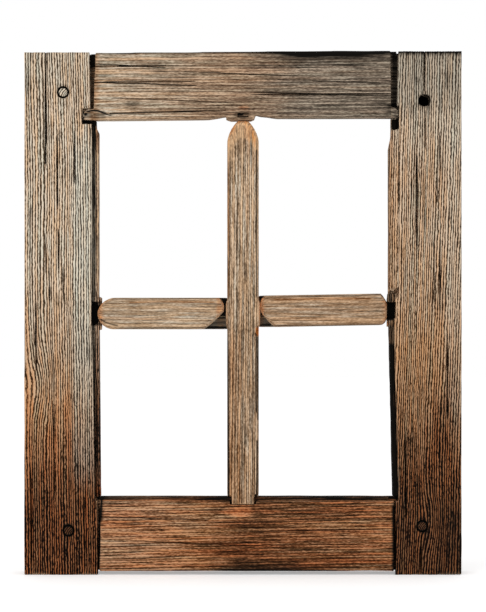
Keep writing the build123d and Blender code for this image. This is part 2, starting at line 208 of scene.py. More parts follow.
class Board:
    """A piece of wood as dense mesh: its points, its grain direction and what is stored on it."""

    def __init__(self, node, along, fine, deep, long):
        self.name = node
        self.along = along
        self.side = 2 if along == 0 else 0
        steps = [fine] * 3
        steps[along] = long
        if along != 1:
            steps[1] = deep
        self.object = sliced(node, steps)
        mesh = self.object.data
        count = len(mesh.vertices)
        flat = np.empty(count * 3)
        mesh.vertices.foreach_get("co", flat)
        self.points = flat.reshape(-1, 3) / MM
        pairs = np.empty(len(mesh.edges) * 2, dtype=np.int64)
        mesh.edges.foreach_get("vertices", pairs)
        self.pairs = pairs.reshape(-1, 2)
        lengths = np.linalg.norm(self.points[self.pairs[:, 0]] - self.points[self.pairs[:, 1]], axis=1)
        self.pull = 1.0 / np.maximum(lengths, 0.2)
        self.start = self.points.copy()
        self.normals = self.read_normals()
        self.front = smoothstep(0.35, 0.75, -self.normals[:, 1])
        self.rings = np.zeros(count)
        self.marks = {name: np.zeros(count) for name in ("age", "warm", "grey", "dark", "worn")}

    def read_normals(self):
        mesh = self.object.data
        flat = np.empty(len(mesh.vertices) * 3)
        mesh.vertex_normals.foreach_get("vector", flat)
        return flat.reshape(-1, 3)

    def write_points(self):
        mesh = self.object.data
        mesh.vertices.foreach_set("co", (self.points * MM).ravel())
        mesh.update()

    def averaged(self, values):
        """The mean of each point's neighbours, near ones counting more."""
        count = len(values)
        a, b = self.pairs[:, 0], self.pairs[:, 1]
        total = np.stack(
            [
                np.bincount(a, values[b, k] * self.pull, count) + np.bincount(b, values[a, k] * self.pull, count)
                for k in range(values.shape[1])
            ],
            axis=1,
        )
        number = np.bincount(a, self.pull, count) + np.bincount(b, self.pull, count)
        return total / number[:, None]

    def wear(self, rounds, amount):
        """Rounds the edges, more where the amount is larger, and marks what was worn off."""
        for _ in range(rounds):
            self.points += (self.averaged(self.points) - self.points) * amount[:, None]
        lost = np.linalg.norm(self.points - self.start, axis=1)
        self.marks["worn"] = np.maximum(self.marks["worn"], np.clip(lost / 1.1, 0.0, 1.0))
        self.write_points()
        self.normals = self.read_normals()

    def push(self, depth):
        """Moves the surface inwards by a depth in millimetres."""
        self.points -= self.normals * depth[:, None]

    def keep(self, inside):
        """Puts points of a joint back where they started, so that it stays tight."""
        self.points[inside] = self.start[inside]

    def mark(self, name, amount):
        self.marks[name] = np.clip(self.marks[name] + amount, 0.0, 1.5)

    def patch(self, px, py, half_width, half_height, ragged=0.35, seed=0):
        """A soft-edged patch on the front, by its middle and half sizes in pixels."""
        x = (self.start[:, 0] - across(px)) / (half_width * PIXEL)
        z = (self.start[:, 2] - up(py)) / (half_height * PIXEL)
        size = [7.0, 7.0, 7.0]
        size[self.along] = 26.0
        far = np.hypot(x, z) + ragged * noise(self.start, size, 90 + seed)
        return smoothstep(1.25, 0.55, far) * self.front

    def zone(self, x0, x1, y0, y1, behind=0.0, soft=0.8, ragged=0.0):
        """A soft-edged upright rectangle of the picture, on what lies further back than the face by behind."""
        x, y, z = self.start.T
        if ragged:
            x = x + ragged * noise(self.start, (5.0, 9.0, 9.0), 95)
        across_it = between(x, across(x0), across(x1), soft)
        return across_it * between(z, up(y1), up(y0), soft) * (y > FRONT + behind - 0.01) * (y < 5.0)

    def finish(self, slot):
        """Writes the points and the marks back, smooths the shading, hangs the piece under the root and hides the
        packed part.
        """
        low, high = self.start.min(axis=0), self.start.max(axis=0)
        self.points = np.clip(self.points, low, high)
        self.write_points()
        mesh = self.object.data
        for name, values in {"rings": self.rings, **self.marks}.items():
            layer = mesh.attributes.new(name, "FLOAT", "POINT")
            layer.data.foreach_set("value", values)
        mesh.polygons.foreach_set("use_smooth", [True] * len(mesh.polygons))
        mesh.update()
        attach(self.object, "root")
        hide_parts(self.name)


def sliced(node, steps):
    """The solid of a node cut across every axis, so that its cells are small and its edges stay sharp."""
    bm = bmesh.new()
    bm.from_mesh(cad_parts[node].data)
    bmesh.ops.remove_doubles(bm, verts=bm.verts, dist=1e-6)
    bmesh.ops.dissolve_limit(bm, angle_limit=0.02, verts=bm.verts, edges=bm.edges)
    low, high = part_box(node)
    for axis in sorted(range(3), key=lambda k: -steps[k]):
        count = int((high[axis] - low[axis]) / steps[axis])
        normal = Vector((0.0, 0.0, 0.0))
        normal[axis] = 1.0
        for k in range(count):
            place = normal * (low[axis] + (k + 0.63) * (high[axis] - low[axis]) / (count + 0.5))
            cells = bm.verts[:] + bm.edges[:] + bm.faces[:]
            bmesh.ops.bisect_plane(bm, geom=cells, dist=1e-7, plane_co=place, plane_no=normal)
    mesh = bpy.data.meshes.new(node + "_wood")
    bm.to_mesh(mesh)
    bm.free()
    made = bpy.data.objects.new(node + "_wood", mesh)
    bpy.context.scene.collection.objects.link(made)
    return made


def grain(board, pith, spacing, depth, seed, lean=(0.0, 0.0), wander=1.0, knots=()):
    """Year rings as grooves and ridges, with fine fibres and short checks between them.

    pith is the heart of the log, as its place on the two axes across the board, and
    lean is how far it drifts for each millimetre along the board. A knot bends the
    rings round a place that is given by its place across, its place along and its strength.
    """
    p = board.start
    c1, c2 = [k for k in range(3) if k != board.along]
    along = p[:, board.along]

    def field(across_size, along_size, number):
        size = [across_size] * 3
        size[board.along] = along_size
        return noise(p, size, seed + number)

    rings = np.hypot(p[:, c1] - pith[0] - lean[0] * along, p[:, c2] - pith[1] - lean[1] * along)
    rings += wander * (1.6 * field(34.0, 150.0, 0) + 0.4 * field(11.0, 90.0, 1))
    for place, level, strength, reach, tall in knots:
        rings += strength * np.exp(-(((p[:, board.side] - place) / reach) ** 2) - ((along - level) / tall) ** 2)
    flat = np.zeros(len(p))
    rings += 0.35 * spacing * noise(np.stack([rings / (2.6 * spacing), flat, flat], axis=1), 1.0, seed + 3)
    board.rings = rings / spacing
    valley = 0.5 + 0.5 * np.cos(2.0 * np.pi * board.rings)
    checks = smoothstep(0.52, 0.8, field(2.0, 30.0, 10))
    low = 0.7 * valley * (0.8 + 0.4 * field(6.0, 90.0, 5)) + 0.2 * field(2.4, 40.0, 8) + 0.45 * checks
    board.mark("dark", 0.35 * checks)
    board.push(depth * np.clip(low + 0.1, 0.0, 1.35))


def crack(board, start, end, half_width, depth, seed=0, wobble=0.5):
    """A drying crack in the front face between two places of the picture, widest in its middle."""
    p = board.start
    along = p[:, board.along]
    first, last = [(across(px), 0.0, up(py)) for px, py in (start, end)]
    t = (along - first[board.along]) / (last[board.along] - first[board.along])
    line = first[board.side] + (last[board.side] - first[board.side]) * t
    flat = np.zeros(len(p))
    line = line + wobble * noise(np.stack([flat + seed * 3.3, flat, along / 14.0], axis=1), 1.0, seed + 31)
    inside = np.where((t > 0.0) & (t < 1.0), np.clip(4.0 * t * (1.0 - t), 0.0, 1.0) ** 0.35, 0.0)
    reach = 0.62 * half_width * inside
    off = np.abs(p[:, board.side] - line)
    cut = np.where(reach > 0.0, np.clip(1.45 - off / np.maximum(reach, 0.05), 0.0, 1.0), 0.0)
    board.mark("dark", 1.2 * cut * (p[:, 1] < FRONT + 6.0))
    board.points[:, 1] += depth * cut * (board.normals[:, 1] < -0.4)


def trace(board, places, half_width):
    """1 along a line through places of the picture, falling to 0 at its half width in millimetres."""
    x, y, z = board.start.T
    near = np.full(len(x), 1e9)
    for (px, py), (qx, qy) in zip(places, places[1:]):
        start = np.array([across(px), up(py)])
        way = np.array([across(qx), up(qy)]) - start
        t = np.clip(((x - start[0]) * way[0] + (z - start[1]) * way[1]) / (way @ way), 0.0, 1.0)
        near = np.minimum(near, np.hypot(x - start[0] - t * way[0], z - start[1] - t * way[1]))
    return smoothstep(1.3 * half_width, 0.5 * half_width, near) * (y < FRONT + 12.0)


def hole_shade_ring(board, place, level, radius):
    """Painted shade inside a peg hole and a painted shadow ring round it, the ring pressed in a little, and how far
    each point is from its middle.
    """
    p = board.start
    far = np.hypot(p[:, 0] - place, p[:, 2] - level)
    inside = smoothstep(radius + 1.2, radius + 0.3, far) * (p[:, 1] > FRONT + 0.3) * (p[:, 1] < HOLE_END)
    rim = bump(far, radius, 1.3) * board.front
    # The hole's inside and the ring round it are darkened as painted shade
    board.mark("dark", 1.3 * inside + 0.6 * rim)
    board.points[:, 1] += 0.3 * rim
    return far


# Materials

# Near black for cracks, joints and stains, and for painted shade in holes, gaps and recesses
SHADE_AND_STAIN_BLACK = (0.004, 0.003, 0.002)
ORANGE_TINT = (1.0, 0.80, 0.60)
COOL_TINT = (0.86, 0.98, 0.98)
WEATHER_AND_SHADE_GREY = (0.48, 0.49, 0.42)
RUST = (0.60, 0.27, 0.09)
BARE_TAN = (0.66, 0.47, 0.30)


class Socket:
    """An output socket that takes part in sums."""

    def __init__(self, tree, output):
        self.tree = tree
        self.output = output

    def join(self, operation, first, second):
        made = self.tree.nodes.new("ShaderNodeMath")
        made.operation = operation
        for socket, value in zip(made.inputs, (first, second)):
            if isinstance(value, Socket):
                self.tree.links.new(value.output, socket)
            else:
                socket.default_value = value
        return Socket(self.tree, made.outputs[0])

    def __add__(self, other):
        return self.join("ADD", self, other)

    def __radd__(self, other):
        return self.join("ADD", other, self)

    def __sub__(self, other):
        return self.join("SUBTRACT", self, other)

    def __rsub__(self, other):
        return self.join("SUBTRACT", other, self)

    def __mul__(self, other):
        return self.join("MULTIPLY", self, other)

    def __rmul__(self, other):
        return self.join("MULTIPLY", other, self)

    def limited(self):
        return self.join("MINIMUM", self.join("MAXIMUM", self, 0.0), 1.0)

    def waves(self):
        """0 at whole numbers, 1 halfway between them."""
        return self.join("PINGPONG", self, 0.5) * 2.0

    def whole(self):
        return self.join("FLOOR", self, 0.0)


class Finish:
    """One material, made node by node."""

    def __init__(self, name):
        self.material = bpy.data.materials.new(name)
        self.material.use_nodes = True
        self.tree = self.material.node_tree
        self.tree.nodes.clear()

    def node(self, kind, settings=None, sockets=None, out=0):
        """Adds a node: its settings first, then the values or links of its sockets."""
        made = self.tree.nodes.new(kind)
        for key, value in (settings or {}).items():
            if key == "stops":
                ramp = made.color_ramp
                while len(ramp.elements) < len(value):
                    ramp.elements.new(0.5)
                for element, (place, colour) in zip(ramp.elements, value):
                    element.position = place
                    element.color = (*colour, 1.0)
            else:
                setattr(made, key, value)
        for key, value in (sockets or {}).items():
            socket = made.inputs[key]
            if isinstance(value, Socket):
                self.tree.links.new(value.output, socket)
            else:
                socket.default_value = value
        return Socket(self.tree, made.outputs[out]) if made.outputs else None

    def stored(self, name):
        return self.node("ShaderNodeAttribute", {"attribute_name": name}, out="Fac")

    def mix(self, first, second, factor, blend="MIX"):
        first, second = [(*v, 1.0) if isinstance(v, (tuple, list)) and len(v) == 3 else v for v in (first, second)]
        return self.node(
            "ShaderNodeMix",
            {"data_type": "RGBA", "blend_type": blend},
            {0: factor, 6: first, 7: second},
            out=2,
        )

    def tinted(self, colour, tint, blend, amount):
        """The colour with a tint blended over it by an amount."""
        return self.mix(colour, self.mix(colour, tint, 1.0, blend), amount)

    def ramp(self, factor, groove, middle, ridge, halfway=0.5):
        """From the groove's colour at 0, through the middle one, to the ridge's at 1."""
        stops = [(0.0, groove), (halfway, middle), (1.0, ridge)]
        return self.node("ShaderNodeValToRGB", {"stops": stops}, {"Fac": factor})

    def by_ring(self, place):
        """A random number for each whole value of the place."""
        return self.node("ShaderNodeTexWhiteNoise", {"noise_dimensions": "1D"}, {"W": place}, out="Value")


def grained(made, along, across_size, along_size, detail=2.0, roughness=0.55, shift=(0.0, 0.0, 0.0)):
    """Noise that is stretched along the grain, from 0 to 1."""
    scale = [1.0 / across_size] * 3
    scale[along] = 1.0 / along_size
    coords = made.node("ShaderNodeTexCoord", out="Object")
    stretched = made.node("ShaderNodeMapping", sockets={"Vector": coords, "Scale": tuple(scale), "Location": shift})
    return made.node(
        "ShaderNodeTexNoise",
        {"noise_dimensions": "3D"},
        {"Vector": stretched, "Scale": 1.0, "Detail": detail, "Roughness": roughness},
    )


def wood(
    name, along, finish, contrast=1.3, level=0.55, even=1.0, rich=0.3, warm_colour=RUST, worn_colour=BARE_TAN
):
    """Weathered wood whose tone follows the year rings and the marks stored on the mesh.

    contrast is how much its lines differ, level how light they are between the darkest
    and the lightest, even how much the year rings tell against the loose fibres, and
    rich how orange the warmer fibres are.
    """
    made = Finish(name)
    jitter = grained(made, along, 9.0 * MM, 13 * MM, 1.0, 0.5, (2.3, 6.1, 3.7))
    rings = made.stored("rings") + (jitter - 0.5) * (0.75 * even)
    ridge = made.by_ring(rings.whole())
    valley = made.by_ring((rings + 0.5).whole() + 0.5)
    fibres = grained(made, along, 1.15 * MM, 34 * MM, 1.0, 0.5)
    hairs = grained(made, along, 0.8 * MM, 3.6 * MM, 1.0, 0.6, (3.1, 1.7, 5.3))
    streaks = grained(made, along, 4.5 * MM, 130 * MM, 2.0, 0.5, (7.7, 2.9, 1.3))
    blotches = grained(made, along, 17 * MM, 60 * MM, 2.0, 0.5, (1.9, 8.1, 4.4))
    tints = grained(made, along, 1.9 * MM, 34 * MM, 1.0, 0.5, (5.9, 4.1, 2.3)) + (ridge - 0.5) * 0.3

    # How light each line is, from 0 in the grooves to 1 on the ridges
    years = made.stored("age") + (streaks - 0.5) * 0.25 + (blotches - 0.5) * 0.2
    soaked = (years * 2.0 - 1.0).limited()
    lines = (rings.waves() - 0.5) * (valley * 0.7 + 1.5) * even + (ridge - 0.5) * 0.3
    loose = 4.0 - 2.3 * even - 1.4 * max(even - 0.55, 0.0)
    scatter = (fibres - 0.5) * loose + (hairs - 0.5) * 2.6 + (streaks - 0.5) * 0.15
    tone = ((lines + scatter) * contrast + level - soaked * 0.3).limited()

    # From dry to brown to damp with age
    dry = made.ramp(tone, finish.dry_groove, finish.dry_middle, finish.dry_ridge)
    brown = made.ramp(tone, finish.brown_groove, finish.brown_middle, finish.brown_ridge)
    damp = made.ramp(tone, finish.damp_groove, finish.damp_middle, finish.damp_ridge, 0.62)
    colour = made.mix(dry, brown, (years * 2.0).limited())
    colour = made.mix(colour, damp, soaked)

    # Tints along the fibres, and the marks
    orange = ((tints - 0.5) * 3.5 + rich).limited()
    colour = made.tinted(colour, ORANGE_TINT, "MULTIPLY", orange * 0.8)
    cool = ((0.47 - tints) * 4.0).limited() * (1.0 - rich)
    colour = made.tinted(colour, COOL_TINT, "MULTIPLY", cool)
    # The grey mark: weathered grey, and painted shade on the cross bars' back layer
    grey_share = (made.stored("grey") * (0.4 + streaks) + (blotches - 0.62) * 0.6).limited()
    colour = made.tinted(colour, WEATHER_AND_SHADE_GREY, "COLOR", grey_share * 0.55)
    rim = (made.stored("worn") * (0.35 + fibres) - 0.12).limited()
    shadowed = tuple(0.3 * part for part in worn_colour)
    worn_tone = (tone * 0.7 + hairs * 0.9 - 0.15).limited()
    colour = made.mix(colour, made.mix(shadowed, worn_colour, worn_tone), rim * 0.85)
    heart = (made.stored("warm") * (0.2 + fibres * 1.6) + (streaks - 0.62) * 1.2).limited()
    colour = made.tinted(colour, warm_colour, "OVERLAY", heart)
    # The dark mark: cracks, checks, joints and stains, and painted shade in holes, gaps, recesses and on a shaded
    # bevel
    colour = made.mix(colour, SHADE_AND_STAIN_BLACK, (made.stored("dark") * (1.35 - 0.6 * fibres)).limited())

    fuzz = fibres * 0.6 + hairs * 0.4
    height = made.node("ShaderNodeBump", {}, {"Strength": 0.6, "Distance": 0.4 * MM, "Height": fuzz})
    surface = made.node(
        "ShaderNodeBsdfPrincipled",
        {},
        {"Base Color": colour, "Roughness": 0.93 - tone * 0.12, "Normal": height, "Specular IOR Level": 0.1},
    )
    made.node("ShaderNodeOutputMaterial", sockets={"Surface": surface})
    return made.material


# The pieces

# Long cracks: from and to in pixels, half width and depth in millimetres
LEFT_CRACKS = (
    ((45.4, 50), (45.8, 168), 0.75, 5.0),
    ((56.9, 134), (57.4, 212), 0.65, 4.0),
    ((58.2, 228), (58.9, 272), 0.7, 4.0),
    ((45.2, 234), (45.8, 272), 0.7, 4.0),
    ((63.2, 268), (63.4, 302), 0.6, 3.5),
    ((49.2, 262), (49.8, 304), 0.6, 3.5),
    ((74.2, 128), (74.9, 184), 0.6, 3.5),
    ((35.0, 300), (36.5, 372), 0.6, 3.0),
    ((31.0, 470), (31.5, 570), 0.7, 3.5),
    ((84.0, 500), (85.0, 572), 0.6, 3.0),
    ((90.1, 127), (89.6, 147), 0.7, 4.0),
    ((87.1, 127), (87.1, 136), 0.7, 3.0),
    ((53.0, 404), (55.0, 500), 0.6, 3.0),
)
RIGHT_CRACKS = (
    ((416.7, 155), (416.9, 252), 0.7, 4.5),
    ((411.5, 183), (411.7, 207), 0.6, 3.5),
    ((439.7, 134), (439.9, 160), 0.6, 3.5),
    ((437.4, 173), (437.6, 202), 0.6, 3.5),
    ((440.0, 238), (440.3, 314), 0.7, 4.0),
    ((434.0, 243), (434.4, 302), 0.6, 3.5),
    ((424.6, 52), (424.2, 92), 0.4, 2.0),
    ((424.8, 109), (425.6, 150), 0.4, 2.0),
    ((447.0, 330), (447.8, 420), 0.6, 3.0),
    ((405.0, 430), (406.0, 520), 0.6, 3.0),
    ((421.5, 535), (421.0, 573), 0.7, 3.5),
)
TOP_RAIL_CRACKS = (
    ((92, 64.0), (168, 67.5), 0.7, 4.0),
    ((92, 82.0), (196, 85.5), 0.8, 4.5),
    ((190, 72.0), (300, 76.0), 0.6, 3.0),
    ((250, 92.0), (392, 96.0), 0.7, 3.5),
    ((300, 80.0), (380, 83.0), 0.6, 3.0),
    ((110, 98.0), (215, 101.5), 0.6, 3.0),
)
BOTTOM_RAIL_CRACKS = (
    ((100, 517.0), (210, 520.0), 0.6, 3.0),
    ((130, 541.0), (250, 546.0), 0.6, 3.0),
    ((250, 532.0), (390, 529.0), 0.6, 3.0),
    ((100, 560.0), (180, 557.0), 0.6, 3.0),
)

# Curved edges, as places of the picture
TONGUE_ARC = (
    (82.5, 119), (84, 116), (85.5, 113.5), (88, 111.2), (92, 110.2), (97, 110.4), (103, 112.6), (110, 115.4),
)
NOSE_ARCH = (
    (227.6, 146), (228.4, 138), (231.5, 129), (236, 122.5), (241, 119.5),
    (246, 122.5), (251, 129), (254.6, 138), (256, 146),
)
LEFT_BAR_NOSE = ((112, 299), (103, 302.5), (98.5, 308), (97.6, 314), (99.5, 320), (105, 326), (114, 329))
RIGHT_BAR_NOSE = ((262.5, 299), (260.6, 303), (260.4, 309), (262.5, 314))


class SASH_OT_stiles(bpy.types.Operator):
    """Adds the two weathered stiles"""

    bl_idname = "sash.stiles"
    bl_label = "Stiles"

    def execute(self, context):
        finish = context.scene.sash_finish
        upright = wood("stile_wood", 2, finish, contrast=1.35, level=0.57, even=0.95)
        left = self.board(context, "left_stile", 11, (-450.0, 250.0), [(across(41), up(385), -5.0, 13.0, 34.0)])
        self.left(left)
        right = self.board(context, "right_stile", 47, (470.0, 250.0), [(across(430), up(520), 4.0, 12.0, 30.0)])
        self.right(right)
        for board in (left, right):
            board.object.data.materials.append(upright)
            board.finish("stile_wood")
        return {"FINISHED"}

    def board(self, context, node, seed, pith, knots):
        settings = context.scene.sash_wood
        board = Board(node, 2, settings.fine, settings.deep, settings.long)
        chipped = noise(board.start, (9.0, 9.0, 34.0), seed + 9)
        x, y, z = board.start.T
        slits = (y > FRONT + 0.1) & (y < FRONT + 6.0) & (np.abs(x - np.median(x)) < 34.0)  # they stay sharp
        board.wear(10, np.clip(0.35 + 0.5 * chipped, 0.08, 0.85) * np.where(slits, 0.15, 1.0))
        grain(board, pith, settings.ring / MM, settings.groove / MM, seed, (0.01, 0.02), 1.0, knots)
        board.keep((np.abs(y) < TENON_FACE) & (np.abs(z - BAR_LEVEL) < TENON_TALL) & (np.abs(x) < TENON_END))
        return board

    def left(self, board):
        x, y, z = board.start.T
        levels = [20, 62, 110, 155, 190, 250, 330, 571]
        board.mark("age", np.interp(z, levels, [1.1, 1.02, 0.88, 0.62, 0.45, 0.27, 0.06, 0.03]))
        inner = smoothstep(across(68), across(78), x) * between(z, up(480), up(140), 25.0)
        board.mark("grey", inner * 1.0 + smoothstep(500, 571, z) * 0.35)
        board.mark("dark", 0.07 * smoothstep(up(130), up(90), z))
        streaks = between(x, across(42), across(60), 5.0) * between(z, up(485), up(425), 12.0)
        board.mark("warm", 0.22 * streaks + 0.25 * smoothstep(260, 160, z))
        for seed, (start, end, half, depth) in enumerate(LEFT_CRACKS):
            crack(board, start, end, half, depth, seed)
        # The lip beside the pane: a black quirk and a brown worn bead
        broken = smoothstep(-0.3, 0.3, noise(board.start, (8.0, 8.0, 30.0), 71))
        board.mark("dark", 0.9 * board.zone(90.5, 94.6, 126, 499, 2.0, 0.6, 1.6) * (0.5 + 0.5 * broken))
        bead = board.zone(94.8, 102.0, 124, 499, 2.0, 0.6, 1.0)
        board.mark("age", 0.4 * bead)
        board.mark("warm", 0.4 * bead)
        board.mark("dark", 0.5 * smoothstep(-0.2, 0.4, noise(board.start, (3.0, 6.0, 16.0), 73)) * bead)
        # Painted shade in the dark hole under the tongue and in the mortise where the bar's tenon enters
        board.mark("dark", 1.3 * board.zone(80.0, 97.6, 119.8, 124.6, 2.0))
        board.mark("dark", 1.3 * board.zone(88.0, 97.3, 302.0, 325.0, 2.0))
        crack(board, (100.0, 490), (97.3, 590), 1.0, 5.0, 15, 0.9)
        hole_shade_ring(board, across(62.9), up(91.2), 6.5)
        hole_shade_ring(board, across(68.3), up(530.8), 6.5)

    def right(self, board):
        x, y, z = board.start.T
        levels = [20, 60, 110, 160, 210, 260, 330, 571]
        board.mark("age", np.interp(z, levels, [1.35, 1.25, 0.98, 0.75, 0.6, 0.46, 0.27, 0.21]))
        outer = smoothstep(across(440), across(450), x)
        board.mark("grey", smoothstep(420, 540, z) * 0.8 + 0.5 * outer * between(z, up(420), up(120), 30.0))
        board.mark("age", 0.22 * between(x, across(432), across(450), 5.0) * between(z, up(470), up(395), 20.0))
        board.mark("warm", 0.25 * between(x, across(424), across(431), 3.0) * between(z, up(482), up(420), 12.0))
        board.mark("dark", 0.27 * smoothstep(up(125), up(95), z) + 0.9 * smoothstep(up(54.6), up(52.6), z))
        for seed, (start, end, half, depth) in enumerate(RIGHT_CRACKS):
            crack(board, start, end, half, depth, seed + 20)
        # The lip: tan above the bar, and below it painted shade that makes it black
        upper = board.zone(385, 393.6, 130, 288, 1.0)
        board.mark("age", 0.2 * upper)
        board.mark("warm", 0.2 * upper)
        board.mark("dark", 0.5 * upper * smoothstep(across(390.6), across(388.6), x))
        # Painted shade on the lower lip
        board.mark("dark", 1.0 * board.zone(385, 398.6, 345, 501, 4.0))
        arris = np.interp(z, [95, 155, 250], [169.7, 167.1, 164.9])
        board.mark("worn", 0.9 * bump(x, arris, 1.6) * (z < up(330)) * (z > up(498)) * board.front)
        # Painted shade in the black hole under the top rail, and in the bar's mortise with dark blocks above and
        # below it
        board.mark("dark", 1.3 * board.zone(392.2, 400.0, 118.5, 129.8, 2.0))
        board.mark("dark", 0.65 * board.zone(385.0, 396.4, 291.5, 304.0, 1.0))
        board.mark("dark", 1.3 * board.zone(385.0, 394.2, 304.0, 321.0, 1.0))
        board.mark("warm", 1.0 * board.zone(386.0, 391.5, 321.3, 324.6, 1.0))
        board.mark("dark", 0.8 * board.zone(388.0, 399.0, 323.5, 345.0, 1.0, 2.0))
        board.mark("dark", 0.22 * smoothstep(up(465), up(530), z))
        board.mark("dark", 0.25 * smoothstep(across(432), across(442), x) * smoothstep(up(480), up(520), z))
        far = hole_shade_ring(board, 197.8, 517.4, 6.2)
        # Painted shade, darker further into the empty peg hole
        board.mark("dark", 0.8 * (far < 6.4) * smoothstep(FRONT + 1.0, FRONT + 8.0, y) * (y < 14.0))
        crack(board, (391.8, 496), (395.0, 524), 0.9, 5.0, 35, 0.5)
        crack(board, (395.1, 516), (395.2, 590), 0.9, 5.0, 36, 0.5)
        hole_shade_ring(board, across(422.3), up(526.3), 6.5)


class SASH_OT_rails(bpy.types.Operator):
    """Adds the top rail and the bottom rail"""

    bl_idname = "sash.rails"
    bl_label = "Rails"

    def execute(self, context):
        finish = context.scene.sash_finish
        top = self.board(context, "top_rail", 23, (70.0, 420.0), 2.7)
        self.top(top)
        dry = wood("top_rail_wood", 0, finish, contrast=0.44, level=0.585, even=0.45, rich=0.4)
        top.object.data.materials.append(dry)
        top.finish("top_rail_wood")
        bottom = self.board(context, "bottom_rail", 81, (70.0, 230.0), 2.7)
        self.bottom(bottom)
        red = (0.66, 0.25, 0.07)
        brown = wood("bottom_rail_wood", 0, finish, contrast=0.6, level=0.555, even=0.45, rich=0.5, warm_colour=red)
        bottom.object.data.materials.append(brown)
        bottom.finish("bottom_rail_wood")
        return {"FINISHED"}

    def board(self, context, node, seed, pith, spacing):
        settings = context.scene.sash_wood
        board = Board(node, 0, settings.fine, settings.deep, settings.long)
        chipped = noise(board.start, (34.0, 9.0, 9.0), seed + 9)
        board.wear(9, np.clip(0.3 + 0.5 * chipped, 0.08, 0.85))
        grain(board, pith, spacing, 0.5, seed, (0.01, 0.015), 1.1)
        return board

    def top(self, board):
        x, y, z = board.start.T
        board.mark("age", np.interp(x, [-160, -40, 20, 160], [0.0, 0.4, 0.56, 0.64]))
        board.mark("grey", np.interp(x, [-160, 0, 80], [0.05, 0.6, 1.2]))
        ragged = 6.0 * noise(board.start, (30.0, 12.0, 8.0), 300)
        stain = smoothstep(across(262), across(300), x) * smoothstep(up(70), up(58), z + ragged)
        board.mark("dark", 0.56 * stain * smoothstep(across(402), across(380), x))
        board.mark("dark", 0.25 * smoothstep(up(57), up(51.5), z + 0.4 * ragged))
        along_edge = between(x, across(262), across(368), 40.0)
        board.mark("dark", 0.55 * along_edge * smoothstep(up(63), up(53), z + 0.5 * ragged))
        board.mark("dark", 0.6 * smoothstep(up(53.6), up(52.0), z))
        board.marks["dark"] *= 0.3 + 0.7 * smoothstep(FRONT + 14.0, FRONT + 5.0, y)
        torn = smoothstep(-0.3, 0.4, noise(board.start, (10.0, 5.0, 2.5), 74))
        board.mark("dark", 0.7 * (board.zone(387, 402, 103, 122, 0.0, 2.0) * torn))
        board.mark("warm", 0.45 * board.patch(244, 107.3, 6, 3, 0.3))
        board.mark("dark", 0.6 * board.patch(241, 114.0, 9, 3.4, 0.5, 1))
        # Painted shade in the gap beside the left stile: black above, dark grey lower down
        gap_shade = 1.3 * board.zone(86.0, 94.8, 40, 66.5, 5.0) + 0.72 * board.zone(86.0, 94.8, 66.5, 109.5, 5.0)
        board.mark("dark", gap_shade)
        board.mark("dark", 0.95 * trace(board, TONGUE_ARC, 0.9))
        board.mark("dark", 0.4 * board.zone(82, 106, 110.5, 119, 0.0, 1.5))
        board.mark("age", 0.4 * between(x, across(90), across(98), 2.0))
        # Painted shade in the gap beside the right stile
        board.mark("dark", 0.85 * board.zone(391.0, 400.0, 40, 106.0, 5.0))
        for seed, (start, end, half, depth) in enumerate(TOP_RAIL_CRACKS):
            crack(board, start, end, half, depth, seed + 40)
        seam = (y > FRONT + 0.8) * between(z, up(115.2), up(110.5), 0.6) * (x < 0)
        board.mark("dark", 0.8 * seam * board.front)

    def bottom(self, board):
        x, y, z = board.start.T
        board.mark("age", np.interp(x, [-150, -60, 0, 60, 160], [0.34, 0.47, 0.76, 0.7, 0.58]))
        board.mark("warm", np.full(len(x), 0.35))
        ragged = 7.0 * noise(board.start, (26.0, 12.0, 8.0), 301)
        stain = between(x, across(215), across(298), 14.0) * smoothstep(up(553), up(566), z + ragged)
        board.mark("dark", 0.6 * stain)
        board.mark("dark", 0.4 * smoothstep(up(566), up(572), z + 0.3 * ragged))
        board.marks["dark"] *= 0.3 + 0.7 * smoothstep(FRONT + 14.0, FRONT + 5.0, y)
        fresh = board.patch(242, 512, 16, 8, 0.5, 2)
        board.mark("warm", 0.4 * fresh)
        board.mark("age", -0.4 * fresh)
        uneven = 0.75 + 0.4 * noise(board.start, (20.0, 9.0, 9.0), 72)
        board.mark("dark", 1.1 * board.zone(95, 400, 490, 500.6, 2.0, 0.4) * uneven)
        board.mark("dark", 1.3 * board.zone(228.5, 231.8, 500.4, 505.5, 2.0, 0.3))
        board.mark("dark", 1.3 * board.zone(254.2, 257.5, 500.4, 505.5, 2.0, 0.3))
        board.mark("dark", 1.3 * trace(board, ((101.0, 498), (99.0, 535), (98.0, 576)), 1.3))
        board.mark("dark", 1.3 * trace(board, ((391.8, 496), (394.4, 518), (394.8, 576)), 1.3))
        for seed, (start, end, half, depth) in enumerate(BOTTOM_RAIL_CRACKS):
            crack(board, start, end, half, depth, seed + 60)


